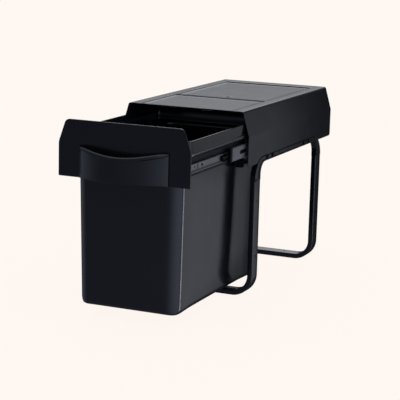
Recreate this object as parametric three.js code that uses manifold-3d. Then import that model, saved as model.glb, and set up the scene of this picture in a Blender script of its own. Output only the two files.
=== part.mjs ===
// Pull-out waste bin for a kitchen base cabinet, in millimetres, +Z up, +Y to the cabinet's back, X across.
// A steel hood on two flat-tube legs carries a pair of ball-bearing slides. A bucket hangs between them
// behind a flat front plate with a bowed handle. Drawn with the drawer pulled out by REST_OPEN.
import * as THREE from "three";
import { mergeVertices } from "three/addons/utils/BufferGeometryUtils.js";
import Module from "manifold-3d";

const wasm = await Module();
wasm.setup();

// Play between neighbouring pieces
const GAP = 0.3;

// Hood
const HOOD_FRONT = -46;
const HOOD_DEPTH = 445;
const HOOD_TOP = 344;
const HOOD_HALF = 125;
const HOOD_TOP_HALF = 112.3;
const HOOD_FOLD_Z = 300;
const HOOD_HEM_Z = 246;
const HOOD_SHEET = 1.2;
const HOOD_BEND = 7;

// Leg tubes: two U-shaped loops of flat tube
const TUBE_WIDE = 27;
const TUBE_THICK = 9.6;
const TUBE_WALL = 1.3;
const TUBE_CORNER = 2.6;
const LEG_OUT = 126.1;
const LEG_BEND = 34;
const LEG_TOP = 214.7;
const REAR_LEG_Y = 328;
const SIDE_HOLES_Z = [75, 177];
const FLOOR_HOLE_X = 62;
const FIXING_HOLE_R = 2.4;

// Side rails that join the legs under the hood
const RAIL_LOW = 246;
const RAIL_HIGH = 256;
const RAIL_FILLET = 22;
const RAIL_SHOULDER = 44;
const PLUG_LONG = 15;
const NOTCH_PLAY = 0.5;

// Screws: shank and head radii, and head thickness
const SCREW_SHAFT = 1.9;
const SCREW_HEAD = 3.4;
const SCREW_HEAD_THICK = 1.6;
const RAIL_SCREWS_Y = [51, 78, 248, 275];
const RAIL_SCREW_Z = 251;

// Slide brackets: sheet angle behind the skirt, stepped in over the side rail
const BRACKET_WEB = 122;
const BRACKET_LIP = 114.6;
const BRACKET_SHEET = 1.4;
const BRACKET_STEP_Z = 258;
const BRACKET_TOP = 297;

// Guide blocks under the slides at the mouth of the hood
const BLOCK_IN = 99.7;
const BLOCK_LONG = 16;
const BLOCK_Z = [244, 257.6];
const BLOCK_SLOT = 5;

// Slides, as sections outward from the middle of the bin
const SLIDE_LONG = 400;
const SLIDE_Z = 275.5;
const SLIDE_SHEET = 1;
const REST_OPEN = 239;
const MIDDLE_RATIO = 0.29;
const OUTER_FRONT = -36;
const INNER_FRONT = OUTER_FRONT - REST_OPEN - 9;
const MIDDLE_FRONT = OUTER_FRONT - REST_OPEN * MIDDLE_RATIO;
const BALL_R = 1.6;
const OUTER_SECTION = { web: 121.6, tip: 112.8, height: 33.6 };
const MIDDLE_SECTION = { web: 119, tip: 112.2, height: 24 };
const INNER_SECTION = { web: 109.9, tip: 116.2, height: 14.4 };
const OUTER_HOLES = [40, 180, 330];
const OUTER_HOLE_R = 2.2;
const MIDDLE_NOTCH = [34, 72];
const MIDDLE_HOLE = 340;
const STOP_LONG = 8;
const INNER_HOLES = [36, 157];
const INNER_SLOT = 48;
const INNER_SCREWS_Y = [INNER_FRONT + 66, INNER_FRONT + 300];
const OUTER_CAGE = { web: 119.4, tip: 113.4, ballX: 115.2, rowZ: 13.9, y0: -15, y1: 185, balls: 5 };
const INNER_CAGE = { web: 116.8, tip: 112.4, ballX: 114.2, rowZ: 9.1, y0: -60, y1: 74, balls: 4 };
const CAGE_SHEET = 0.8;

// Release levers and their pins
const LEVER_PIN_Y = -112;
const LEVER_FRONT = -139;
const LEVER_X = [111.3, 115.6];
const LEVER_EYE_R = 4.4;
const PIN_R = 1.2;
const PIN_HEAD_R = 2.2;

// Front plate and handle
const PLATE_FACE = -289.4;
const PLATE_THICK = 3;
const PLATE_HALF = 121.7;
const PLATE_TOP_HALF = 108.2;
const PLATE_FOLD_Z = 304.4;
const PLATE_TOP = 343.4;
const PLATE_SCREWS = [[-104, 268], [-104, 288], [104, 268], [104, 288]];
const HANDLE_HALF = 82.8;
const HANDLE_DEEP = 27;
const HANDLE_TOP = 302;
const HANDLE_DIP = 11;
const HANDLE_BOW = 0.8;
const HANDLE_WALL = 3;
const HANDLE_WEB_X = 58;
const HANDLE_BACK = PLATE_FACE - GAP;
const HANDLE_SCREWS = [-70, 70];
const HANDLE_SCREW_Z = 272;
const LIP_R = 3.4;
const LIP_OUT = 22.4;

// Bucket and the carrier it hangs in
const BUCKET_HALF = 98;
const BUCKET_FRONT = -276.5;
const BUCKET_BACK = 79;
const BUCKET_FLOOR = 20;
const BUCKET_WALL = 2.6;
const BUCKET_TAPER = 5;
const BUCKET_CORNER = 24;
const COLLAR_Z = 295;
const COLLAR_TOP = 322;
const COLLAR_HALF = 119.4;
const COLLAR_REACH = 7;
const COLLAR_CORNER = 12;
const CARRIER_OUT = 109.6;
const CARRIER_IN = 100;
const CARRIER_LOW = 261;
const CARRIER_SHEET = 1.4;
const CARRIER_TOP = COLLAR_Z - 0.4;
const CARRIER_LIP = 8;
const CARRIER_FRONT = PLATE_FACE + PLATE_THICK + GAP;
const CARRIER_BACK = INNER_FRONT + SLIDE_LONG - 6;
const CROSS_Z = [266, 290];
const CROSS_DEEP = 16;
const CROSS_BEHIND = 14;

// Finishes
const blackPaint = new THREE.MeshStandardMaterial({ color: 0x16181b, roughness: 0.45, metalness: 0.3 });
const greySteel = new THREE.MeshStandardMaterial({ color: 0x4b4d50, roughness: 0.4, metalness: 0.8 });
const ballSteel = new THREE.MeshStandardMaterial({ color: 0x8d9094, roughness: 0.2, metalness: 1 });
const screwSteel = new THREE.MeshStandardMaterial({ color: 0x1b1c1e, roughness: 0.4, metalness: 0.8 });
const bucketPlastic = new THREE.MeshStandardMaterial({ color: 0x1f2226, roughness: 0.35, metalness: 0 });
const handlePlastic = new THREE.MeshStandardMaterial({ color: 0x1a1c20, roughness: 0.4, metalness: 0 });
const blackPlastic = new THREE.MeshStandardMaterial({ color: 0x0c0d0e, roughness: 0.5, metalness: 0 });

const bin = new THREE.Group();

function add(name, geometry, material) {
  const mesh = new THREE.Mesh(geometry, material);
  mesh.name = name;
  bin.add(mesh);
}

// ---- joining and cutting ----
function solid(geometry) {
  const bare = geometry.clone();
  bare.deleteAttribute("normal");
  bare.deleteAttribute("uv");
  const merged = mergeVertices(bare, 1e-3);
  return new wasm.Manifold(
    new wasm.Mesh({
      numProp: 3,
      vertProperties: merged.attributes.position.array,
      triVerts: new Uint32Array(merged.index.array),
    }),
  );
}

function geometryOf(body) {
  const mesh = body.getMesh();
  return new THREE.BufferGeometry()
    .setAttribute("position", new THREE.BufferAttribute(new Float32Array(mesh.vertProperties), 3))
    .setIndex(new THREE.BufferAttribute(new Uint32Array(mesh.triVerts), 1));
}

const cutAll = (body, tools) => tools.reduce((left, tool) => left.subtract(tool), body);
const joinAll = (bodies) => bodies.reduce((all, body) => all.add(body));

function box(low, high) {
  const [w, d, h] = [0, 1, 2].map((i) => high[i] - low[i]);
  return new THREE.BoxGeometry(w, d, h).translate(
    low[0] + w / 2,
    low[1] + d / 2,
    low[2] + h / 2,
  );
}

// A rod of radius r along an axis ("x", "y" or "z"), centred at a point.
function rod(axis, r, length, centre, sides = 12) {
  const geometry = new THREE.CylinderGeometry(r, r, length, sides);
  if (axis === "x") geometry.rotateZ(Math.PI / 2);
  if (axis === "z") geometry.rotateX(Math.PI / 2);
  return geometry.translate(...centre);
}

// A section drawn in X and Z, carried along Y from y0 to y1.
function alongY(points, y0, y1) {
  const shape = new THREE.Shape(points.map(([x, z]) => new THREE.Vector2(x, z)));
  const geometry = new THREE.ExtrudeGeometry(shape, { depth: y1 - y0, bevelEnabled: false });
  return geometry.rotateX(Math.PI / 2).translate(0, y1, 0);
}

// A shape drawn in Y and Z, carried along X from x0 to x1.
function alongX(shape, x0, x1, segments = 6) {
  const geometry = new THREE.ExtrudeGeometry(shape, {
    depth: x1 - x0,
    bevelEnabled: false,
    curveSegments: segments,
  });
  return geometry.rotateY(Math.PI / 2).rotateX(Math.PI / 2).translate(x0, 0, 0);
}

// The mirror image of a shape across X = 0, with its triangles turned back to face out.
function mirrored(geometry) {
  const copy = (geometry.index ? geometry.toNonIndexed() : geometry.clone()).scale(-1, 1, 1);
  const p = copy.attributes.position;
  for (let i = 0; i < p.count; i += 3) {
    const [x, y, z] = [p.getX(i), p.getY(i), p.getZ(i)];
    p.setXYZ(i, p.getX(i + 2), p.getY(i + 2), p.getZ(i + 2));
    p.setXYZ(i + 2, x, y, z);
  }
  copy.deleteAttribute("normal");
  return copy;
}

// Adds a right-hand piece and its mirror image.
function addPair(name, geometry, material) {
  add("right_" + name, geometry, material);
  add("left_" + name, mirrored(geometry), material);
}

// Points round a corner of a folded sheet, from the direction of one leg to the next.
function roundedCorner(before, corner, after, radius, steps = 4) {
  const at = new THREE.Vector2(...corner);
  const back = new THREE.Vector2(...before).sub(at).normalize();
  const on = new THREE.Vector2(...after).sub(at).normalize();
  const half = Math.acos(back.dot(on)) / 2;
  const reach = radius / Math.tan(half);
  const start = at.clone().addScaledVector(back, reach);
  const end = at.clone().addScaledVector(on, reach);
  const curve = new THREE.QuadraticBezierCurve(start, at, end);
  return curve.getPoints(steps).map((p) => [p.x, p.y]);
}

// ---- hood ----
// The hood's outline: skirt, slanted shoulder and flat top, set in by `inset` from the outer face.
function hoodOutline(inset, hem) {
  const half = HOOD_HALF - inset;
  const slope = Math.atan2(HOOD_TOP - HOOD_FOLD_Z, HOOD_HALF - HOOD_TOP_HALF);
  const foldZ = HOOD_FOLD_Z - inset * Math.tan((Math.PI / 2 - slope) / 2);
  const topHalf = HOOD_TOP_HALF - inset * Math.tan(slope / 2);
  const top = HOOD_TOP - inset;
  const radius = HOOD_BEND - inset;
  const right = [
    [half, hem],
    ...roundedCorner([half, hem], [half, foldZ], [topHalf, top], radius),
    ...roundedCorner([half, foldZ], [topHalf, top], [0, top], radius),
  ];
  return [...right, ...right.map(([x, z]) => [-x, z]).reverse()];
}

// The side rail seen from the side: two arms, a curved shoulder over each leg and the run between them.
function railShape(grow) {
  const front = -TUBE_WIDE / 2 - grow;
  const back = REAR_LEG_Y + TUBE_WIDE / 2 + grow;
  const foot = LEG_TOP + GAP - grow;
  const [rx, rz] = [RAIL_SHOULDER, RAIL_HIGH + grow - foot];
  const inner = RAIL_FILLET - grow;
  const frontIn = TUBE_WIDE / 2 + grow;
  const backIn = REAR_LEG_Y - TUBE_WIDE / 2 - grow;
  const low = RAIL_LOW - grow;
  const shape = new THREE.Shape();
  shape.moveTo(front, foot);
  shape.absellipse(front + rx, foot, rx, rz, Math.PI, Math.PI / 2, true);
  shape.absellipse(back - rx, foot, rx, rz, Math.PI / 2, 0, true);
  shape.lineTo(backIn, foot);
  shape.lineTo(backIn, low - inner);
  shape.absarc(backIn - inner, low - inner, inner, 0, Math.PI / 2, false);
  shape.absarc(frontIn + inner, low - inner, inner, Math.PI / 2, Math.PI, false);
  shape.lineTo(frontIn, foot);
  return shape;
}

// Folded sheet open at the front and below, with a wall across its back; the skirt is cut round the rails.
function coverHood() {
  const rear = HOOD_FRONT + HOOD_DEPTH;
  const inner = hoodOutline(HOOD_SHEET, HOOD_HEM_Z).reverse();
  const profile = [...hoodOutline(0, HOOD_HEM_Z), ...inner];
  const sheet = solid(alongY(profile, HOOD_FRONT, rear));
  const wall = solid(alongY(hoodOutline(0, HOOD_HEM_Z), rear - HOOD_SHEET, rear));
  const notch = alongX(railShape(NOTCH_PLAY), -HOOD_HALF - 5, HOOD_HALF + 5, 8);
  return geometryOf(sheet.add(wall).subtract(solid(notch)));
}

// ---- legs ----
// The flat tube's section, `inset` from its outer face, as a rounded rectangle.
function tubeSection(inset) {
  const [w, t] = [TUBE_THICK / 2 - inset, TUBE_WIDE / 2 - inset];
  const r = Math.max(TUBE_CORNER - inset, 0.8);
  const points = [];
  const corners = [[w - r, t - r, 0], [r - w, t - r, 1], [r - w, r - t, 2], [w - r, r - t, 3]];
  for (const [x, y, turn] of corners)
    for (let i = 0; i <= 2; i++) {
      const angle = ((turn + i / 2) * Math.PI) / 2;
      points.push(new THREE.Vector2(x + r * Math.cos(angle), y + r * Math.sin(angle)));
    }
  return points;
}

// One U-shaped leg: the section carried down one upright, across the floor and up the other.
function uLeg(legY) {
  const x = LEG_OUT - TUBE_THICK / 2;
  const floor = TUBE_THICK / 2;
  const frames = [];
  const put = (px, pz, angle) => frames.push({ px, pz, angle });
  const bendSteps = 7;
  put(x, LEG_TOP, 0);
  for (let i = 0; i <= bendSteps; i++) {
    const a = (i / bendSteps) * (Math.PI / 2);
    put(x - LEG_BEND + LEG_BEND * Math.cos(a), floor + LEG_BEND - LEG_BEND * Math.sin(a), a);
  }
  const half = frames.slice();
  for (const f of half.reverse()) put(-f.px, f.pz, Math.PI - f.angle);
  const loops = [0, TUBE_WALL].map((inset) => {
    const section = tubeSection(inset);
    return frames.map(({ px, pz, angle }) =>
      section.map((p) => [px + p.x * Math.cos(angle), legY + p.y, pz - p.x * Math.sin(angle)]),
    );
  });
  return solid(skin([...loops[1], ...loops[0].reverse()], true));
}

// A closed skin over rings of points, one quad strip between each pair; `loop` joins the last to the first.
function skin(rings, loop) {
  const count = rings[0].length;
  const points = rings.flat();
  const index = [];
  const last = loop ? rings.length : rings.length - 1;
  for (let r = 0; r < last; r++)
    for (let i = 0; i < count; i++) {
      const next = (r + 1) % rings.length;
      const [a, b] = [r * count + i, r * count + ((i + 1) % count)];
      const [c, d] = [next * count + i, next * count + ((i + 1) % count)];
      index.push(a, b, c, b, d, c);
    }
  if (!loop)
    for (const [start, up] of [[0, false], [(rings.length - 1) * count, true]])
      for (let i = 1; i < count - 1; i++)
        index.push(start, ...(up ? [start + i, start + i + 1] : [start + i + 1, start + i]));
  const geometry = new THREE.BufferGeometry();
  geometry.setAttribute("position", new THREE.Float32BufferAttribute(points.flat(), 3));
  geometry.setIndex(index);
  return geometry;
}

function leg(legY) {
  const across = SIDE_HOLES_Z.map((z) => rod("x", FIXING_HOLE_R, 2 * LEG_OUT + 10, [0, legY, z]));
  const down = [-1, 1].map((s) => rod("z", FIXING_HOLE_R, 20, [s * FLOOR_HOLE_X, legY, 5]));
  return geometryOf(cutAll(uLeg(legY), [...across, ...down].map(solid)));
}

// ---- side rails and their screws ----

function sideRail() {
  const body = solid(alongX(railShape(0), LEG_OUT - TUBE_THICK, LEG_OUT));
  const centre = LEG_OUT - TUBE_THICK / 2;
  const [pw, pt] = [TUBE_WIDE / 2 - TUBE_WALL - 0.4, TUBE_THICK / 2 - TUBE_WALL - 0.4];
  const plugs = [0, REAR_LEG_Y].map((y) =>
    solid(box([centre - pt, y - pw + 1, LEG_TOP - PLUG_LONG], [centre + pt, y + pw - 1, LEG_TOP + 4])),
  );
  const holes = RAIL_SCREWS_Y.flatMap((y) => [
    solid(rod("x", SCREW_SHAFT + GAP, 30, [centre, y, RAIL_SCREW_Z])),
    solid(rod("x", SCREW_HEAD + GAP, 4, [LEG_OUT + 2 - SCREW_HEAD_THICK - GAP, y, RAIL_SCREW_Z])),
  ]);
  return geometryOf(cutAll(joinAll([body, ...plugs]), holes));
}

function railScrew(y) {
  const head = rod("x", SCREW_HEAD, SCREW_HEAD_THICK, [LEG_OUT - SCREW_HEAD_THICK / 2, y, RAIL_SCREW_Z]);
  const tip = BRACKET_LIP - 3;
  const shaftLong = LEG_OUT - SCREW_HEAD_THICK + 0.5 - tip;
  const shaft = rod("x", SCREW_SHAFT, shaftLong, [tip + shaftLong / 2, y, RAIL_SCREW_Z]);
  return geometryOf(solid(head).add(solid(shaft)));
}

// ---- slide bracket ----
function slideBracket() {
  const [w, l, t, z] = [BRACKET_WEB, BRACKET_LIP, BRACKET_SHEET, BRACKET_STEP_Z];
  const section = [
    [w + t, BRACKET_TOP], [w, BRACKET_TOP], [w, z], [l, z],
    [l, HOOD_HEM_Z], [l + t, HOOD_HEM_Z], [l + t, z - t], [w + t, z - t],
  ];
  const body = solid(alongY(section, HOOD_FRONT + 2, HOOD_FRONT + HOOD_DEPTH - 3));
  const holes = RAIL_SCREWS_Y.map((y) => solid(rod("x", SCREW_SHAFT + GAP, 8, [l, y, RAIL_SCREW_Z])));
  return geometryOf(cutAll(body, holes));
}

function guideBlock() {
  const [low, high] = BLOCK_Z;
  const body = solid(box([BLOCK_IN, HOOD_FRONT, low], [BRACKET_LIP - GAP, HOOD_FRONT + BLOCK_LONG, high]));
  const middle = (low + high) / 2;
  const [y0, y1] = [HOOD_FRONT + BLOCK_SLOT, HOOD_FRONT + BLOCK_LONG + 1];
  const slot = box([BLOCK_IN - 1, y0, middle], [BLOCK_IN + 7, y1, high + 1]);
  return geometryOf(body.subtract(solid(slot)));
}

// ---- slides ----
// A slide member: a channel with its web at one x and its flanges' tips at another, about the centre line.
function member({ web, tip, height }, front) {
  const t = SLIDE_SHEET * Math.sign(tip - web);
  const h = height / 2;
  const inside = h - SLIDE_SHEET;
  const section = [
    [web, -h], [tip, -h], [tip, -inside], [web + t, -inside],
    [web + t, inside], [tip, inside], [tip, h], [web, h],
  ].map(([x, z]) => [x, z + SLIDE_Z]);
  return solid(alongY(section, front, front + SLIDE_LONG));
}

function outerSlide() {
  const holes = OUTER_HOLES.map((y) =>
    solid(rod("x", OUTER_HOLE_R, 6, [OUTER_SECTION.web, OUTER_FRONT + y, SLIDE_Z])),
  );
  return geometryOf(cutAll(member(OUTER_SECTION, OUTER_FRONT), holes));
}

function middleSlide() {
  const { web } = MIDDLE_SECTION;
  const [y0, y1] = MIDDLE_NOTCH.map((y) => MIDDLE_FRONT + y);
  const notch = solid(box([web - 4, y0, SLIDE_Z - 3], [web + 4, y1, SLIDE_Z + 4]));
  const rear = solid(rod("x", 3, 8, [web, MIDDLE_FRONT + MIDDLE_HOLE, SLIDE_Z]));
  return geometryOf(cutAll(member(MIDDLE_SECTION, MIDDLE_FRONT), [notch, rear]));
}

// Black plastic end stop in front of the middle member, open in the middle for the inner member.
function middleStop() {
  const [y0, y1] = [MIDDLE_FRONT - GAP - STOP_LONG, MIDDLE_FRONT - GAP];
  const { web, tip, height } = MIDDLE_SECTION;
  const [half, open] = [height / 2, INNER_SECTION.height / 2 + 4 * GAP];
  const body = solid(box([tip - 0.6, y0, SLIDE_Z - half], [web, y1, SLIDE_Z + half]));
  const way = solid(box([tip - 2, y0 - 1, SLIDE_Z - open], [INNER_SECTION.tip + 1, y1 + 1, SLIDE_Z + open]));
  return geometryOf(body.subtract(way));
}

function innerSlide() {
  const { web } = INNER_SECTION;
  const small = INNER_HOLES.map((y) => solid(rod("x", SCREW_SHAFT, 6, [web, INNER_FRONT + y, SLIDE_Z])));
  const slotY = INNER_FRONT + INNER_SLOT;
  const slot = solid(box([web - 2, slotY - 1.5, SLIDE_Z - 4.5], [web + 3, slotY + 1.5, SLIDE_Z + 4.5]));
  const screws = INNER_SCREWS_Y.map((y) => solid(rod("x", SCREW_SHAFT + GAP, 8, [web, y, SLIDE_Z])));
  const pin = solid(rod("x", PIN_R + GAP, 8, [web, LEVER_PIN_Y, SLIDE_Z]));
  return geometryOf(cutAll(member(INNER_SECTION, INNER_FRONT), [...small, slot, ...screws, pin]));
}

// A strip that holds two rows of balls: a thin web with a flange over each row.
function ballCage({ web, tip, ballX, rowZ, y0, y1, balls }) {
  const t = CAGE_SHEET;
  const section = [
    [web + t, SLIDE_Z - rowZ - t / 2], [web + t, SLIDE_Z + rowZ + t / 2], [tip, SLIDE_Z + rowZ + t / 2],
    [tip, SLIDE_Z + rowZ - t / 2], [web, SLIDE_Z + rowZ - t / 2], [web, SLIDE_Z - rowZ + t / 2],
    [tip, SLIDE_Z - rowZ + t / 2], [tip, SLIDE_Z - rowZ - t / 2],
  ];
  const bodies = [solid(alongY(section, y0, y1))];
  for (let i = 0; i < balls; i++)
    for (const side of [-1, 1]) {
      const ball = new THREE.SphereGeometry(BALL_R, 8, 6);
      const y = y0 + ((i + 0.5) * (y1 - y0)) / balls;
      bodies.push(solid(ball.translate(ballX, y, SLIDE_Z + side * rowZ)));
    }
  return geometryOf(joinAll(bodies));
}

// ---- release lever: a sprung tongue in the inner member's channel, turning on a pin at its back end ----

function releaseLever() {
  const shape = new THREE.Shape();
  shape.moveTo(LEVER_FRONT, SLIDE_Z - 4.2);
  shape.lineTo(LEVER_FRONT + 8, SLIDE_Z - 4.8);
  shape.lineTo(LEVER_PIN_Y - 5, SLIDE_Z - 2.6);
  const open = (5 * Math.PI) / 6;
  shape.absarc(LEVER_PIN_Y, SLIDE_Z, LEVER_EYE_R, -open, open, false);
  shape.lineTo(LEVER_PIN_Y - 6, SLIDE_Z + 2.2);
  shape.lineTo(LEVER_FRONT + 9, SLIDE_Z + 0.6);
  shape.lineTo(LEVER_FRONT, SLIDE_Z + 2.8);
  const body = solid(alongX(shape, ...LEVER_X));
  return geometryOf(body.subtract(solid(rod("x", PIN_R + GAP, 12, [LEVER_X[0], LEVER_PIN_Y, SLIDE_Z]))));
}

function leverPin() {
  const [from, to] = [INNER_SECTION.web - 0.1, LEVER_X[1] + GAP];
  const shaft = solid(rod("x", PIN_R, to - from + 0.2, [(from + to) / 2, LEVER_PIN_Y, SLIDE_Z]));
  return geometryOf(shaft.add(solid(rod("x", PIN_HEAD_R, 0.5, [to + 0.25, LEVER_PIN_Y, SLIDE_Z]))));
}

// ---- carrier: the frame of channels that holds the bucket and the front plate ----

function carrierRail() {
  const [o, i, t] = [CARRIER_OUT, CARRIER_IN, CARRIER_SHEET];
  const section = [
    [o, CARRIER_LOW], [o, CARRIER_TOP], [i, CARRIER_TOP], [i, CARRIER_TOP - t], [o - t, CARRIER_TOP - t],
    [o - t, CARRIER_LOW + t], [i + 2, CARRIER_LOW + t], [i + 2, CARRIER_LOW],
  ];
  const body = solid(alongY(section, CARRIER_FRONT + CARRIER_SHEET + GAP, CARRIER_BACK));
  const holes = INNER_SCREWS_Y.map((y) => solid(rod("x", SCREW_SHAFT + GAP, 8, [o, y, SLIDE_Z])));
  return geometryOf(cutAll(body, holes));
}

function slideScrew(y) {
  const head = rod("x", 3, 1, [CARRIER_OUT - CARRIER_SHEET - GAP - 0.5, y, SLIDE_Z]);
  const shaft = rod("x", SCREW_SHAFT, 5.2, [CARRIER_OUT, y, SLIDE_Z]);
  return geometryOf(solid(head).add(solid(shaft)));
}

function carrierFront() {
  const y1 = CARRIER_FRONT + CARRIER_SHEET;
  const sheet = solid(box([-CARRIER_OUT, CARRIER_FRONT, CARRIER_LOW], [CARRIER_OUT, y1, CARRIER_TOP]));
  const screws = PLATE_SCREWS.map(([x, z]) => solid(rod("y", SCREW_SHAFT + GAP, 8, [x, CARRIER_FRONT, z])));
  const heads = HANDLE_SCREWS.map((x) =>
    solid(rod("y", SCREW_HEAD + 2 * GAP, 8, [x, CARRIER_FRONT, HANDLE_SCREW_Z])),
  );
  return geometryOf(cutAll(sheet, [...screws, ...heads]));
}

function carrierBack() {
  const [y0, t] = [BUCKET_BACK + CROSS_BEHIND, CARRIER_SHEET];
  const y1 = y0 + CROSS_DEEP;
  const [low, high] = CROSS_Z;
  const half = CARRIER_IN + CARRIER_LIP - 0.5;
  const section = new THREE.Shape(
    [
      [y0, low], [y1, low], [y1, low + t], [y0 + t, low + t],
      [y0 + t, high - t], [y1, high - t], [y1, high], [y0, high],
    ].map(([y, z]) => new THREE.Vector2(y, z)),
  );
  return alongX(section, -half, half);
}

// ---- front plate ----
function plateOutline() {
  const low = HOOD_HEM_Z;
  const right = [
    ...roundedCorner([0, low], [PLATE_HALF, low], [PLATE_HALF, PLATE_FOLD_Z], 2.5, 2),
    ...roundedCorner([PLATE_HALF, low], [PLATE_HALF, PLATE_FOLD_Z], [PLATE_TOP_HALF, PLATE_TOP], 6),
    ...roundedCorner([PLATE_HALF, PLATE_FOLD_Z], [PLATE_TOP_HALF, PLATE_TOP], [0, PLATE_TOP], 8, 6),
  ];
  return [...right, ...right.map(([x, z]) => [-x, z]).reverse()];
}

function frontPlate() {
  const sheet = solid(alongY(plateOutline(), PLATE_FACE, PLATE_FACE + PLATE_THICK));
  const back = PLATE_FACE + PLATE_THICK;
  const blind = PLATE_SCREWS.map(([x, z]) => solid(rod("y", SCREW_SHAFT + GAP, 4, [x, back, z])));
  const through = HANDLE_SCREWS.map((x) =>
    solid(rod("y", SCREW_SHAFT + GAP, 12, [x, back, HANDLE_SCREW_Z])),
  );
  return geometryOf(cutAll(sheet, [...blind, ...through]));
}

function plateScrew(x, z) {
  const y = CARRIER_FRONT + CARRIER_SHEET;
  const head = rod("y", SCREW_HEAD, 1.6, [x, y + 1.1, z]);
  const shaft = rod("y", SCREW_SHAFT, 3.7, [x, y - 0.9, z]);
  return geometryOf(solid(head).add(solid(shaft)));
}

// ---- handle: a bowed shell with a rolled lip, closed below, open above for the fingers ----

function bow(half, deep, x) {
  return -deep * Math.max(0, 1 - (x / half) ** 2) ** HANDLE_BOW;
}

// Height of the handle's top edge at x: level at the ends and dipped in the middle.
function lipHeight(x) {
  return HANDLE_TOP - HANDLE_DIP * Math.cos((x / HANDLE_HALF) * (Math.PI / 2)) ** 1.2;
}

// A bowed block in plan, `inset` in from the bow, between two heights or up to the lip.
function bowBlock(inset, low, raise) {
  const [half, deep] = [HANDLE_HALF - inset, HANDLE_DEEP - inset];
  const steps = 24;
  const rim = [];
  for (let i = 0; i <= steps; i++) {
    const x = -half * Math.cos((i / steps) * Math.PI);
    rim.push([x, HANDLE_BACK + bow(half, deep, x)]);
  }
  rim[0][1] = HANDLE_BACK;
  rim[steps][1] = HANDLE_BACK;
  const bottom = rim.map(([x, y]) => [x, y, low]);
  const top = rim.map(([x, y]) => [x, y, lipHeight(x) + raise]);
  return solid(skin([bottom, top], false));
}

function handle() {
  const outer = bowBlock(0, HOOD_HEM_Z, 0);
  const pocket = bowBlock(HANDLE_WALL, HOOD_HEM_Z + HANDLE_WALL, 20);
  const reach = solid(box([-HANDLE_WEB_X, HANDLE_BACK - 40, 200], [HANDLE_WEB_X, HANDLE_BACK + 5, 400]));
  const path = new THREE.CatmullRomCurve3(
    Array.from({ length: 13 }, (_, i) => {
      const x = -(HANDLE_HALF - 1.6) * Math.cos((i / 12) * Math.PI);
      const y = HANDLE_BACK - LIP_R + bow(HANDLE_HALF - 1.6, LIP_OUT, x);
      return new THREE.Vector3(x, y, lipHeight(x) - LIP_R + 0.6);
    }),
  );
  const round = new THREE.Shape().absarc(0, 0, LIP_R, 0, 2 * Math.PI, false);
  const lip = new THREE.ExtrudeGeometry(round, { steps: 26, extrudePath: path, curveSegments: 5 });
  const screws = HANDLE_SCREWS.map((x) =>
    solid(rod("y", SCREW_SHAFT + GAP, 14, [x, HANDLE_BACK, HANDLE_SCREW_Z])),
  );
  const front = solid(box([-200, HANDLE_BACK - 60, 200], [200, HANDLE_BACK, 400]));
  const shell = outer.add(solid(lip)).intersect(front).subtract(pocket.intersect(reach));
  return geometryOf(cutAll(shell, screws));
}

function handleScrew(x) {
  const back = PLATE_FACE + PLATE_THICK;
  const head = rod("y", SCREW_HEAD, 1.4, [x, back + GAP + 0.7, HANDLE_SCREW_Z]);
  const shaft = rod("y", SCREW_SHAFT, 9, [x, back + GAP + 0.2 - 4.5, HANDLE_SCREW_Z]);
  return geometryOf(solid(head).add(solid(shaft)));
}

// ---- bucket ----
// A rounded rectangle in plan at height z, grown by `out` at the sides and by `over` at front and back.
function bucketRing(half, front, back, radius, z) {
  const ring = [];
  const steps = 5;
  const corners = [[half, back, 0], [-half, back, 1], [-half, front, 2], [half, front, 3]];
  for (const [x, y, turn] of corners) {
    const [cx, cy] = [x - Math.sign(x) * radius, y + (turn < 2 ? -radius : radius)];
    for (let i = 0; i <= steps; i++) {
      const a = ((turn + i / steps) * Math.PI) / 2;
      ring.push([cx + radius * Math.cos(a), cy + radius * Math.sin(a), z]);
    }
  }
  return ring;
}

// The bucket's wall at height z: it draws in evenly from under its collar to the floor.
function bucketWall(inset, z) {
  const taper = (BUCKET_TAPER * (COLLAR_Z - z)) / (COLLAR_Z - BUCKET_FLOOR);
  return bucketRing(
    BUCKET_HALF - inset - taper,
    BUCKET_FRONT + inset + taper * 0.8,
    BUCKET_BACK - inset - taper * 0.8,
    BUCKET_CORNER - inset,
    z,
  );
}

function collarRing(inset, z) {
  const reach = COLLAR_REACH - inset;
  const [front, back] = [BUCKET_FRONT - reach, BUCKET_BACK + reach];
  return bucketRing(COLLAR_HALF - inset, front, back, COLLAR_CORNER - inset, z);
}

function bucket() {
  const [floor, wall] = [BUCKET_FLOOR, BUCKET_WALL];
  const outside = [
    bucketWall(9, floor), bucketWall(3, floor + 2.4), bucketWall(0, floor + 9), bucketWall(0, COLLAR_Z - 1),
    bucketWall(-0.6, COLLAR_Z), collarRing(2.6, COLLAR_Z), collarRing(0.7, COLLAR_Z + 2),
    collarRing(0, COLLAR_Z + 5), collarRing(0, COLLAR_Z + 8), collarRing(1.4, COLLAR_Z + 9.6),
    collarRing(3.6, COLLAR_TOP - 2), collarRing(4.6, COLLAR_TOP),
  ];
  const inside = [
    collarRing(6.4, COLLAR_TOP), collarRing(4.8, COLLAR_Z + 8), collarRing(6.4, COLLAR_Z + 3.6),
    bucketWall(wall - 0.6, COLLAR_Z + 2.6), bucketWall(wall, COLLAR_Z - 4), bucketWall(wall, floor + 11),
    bucketWall(wall + 5, floor + 5), bucketWall(wall + 14, floor + 3),
  ];
  return skin([...outside, ...inside], false);
}

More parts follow.
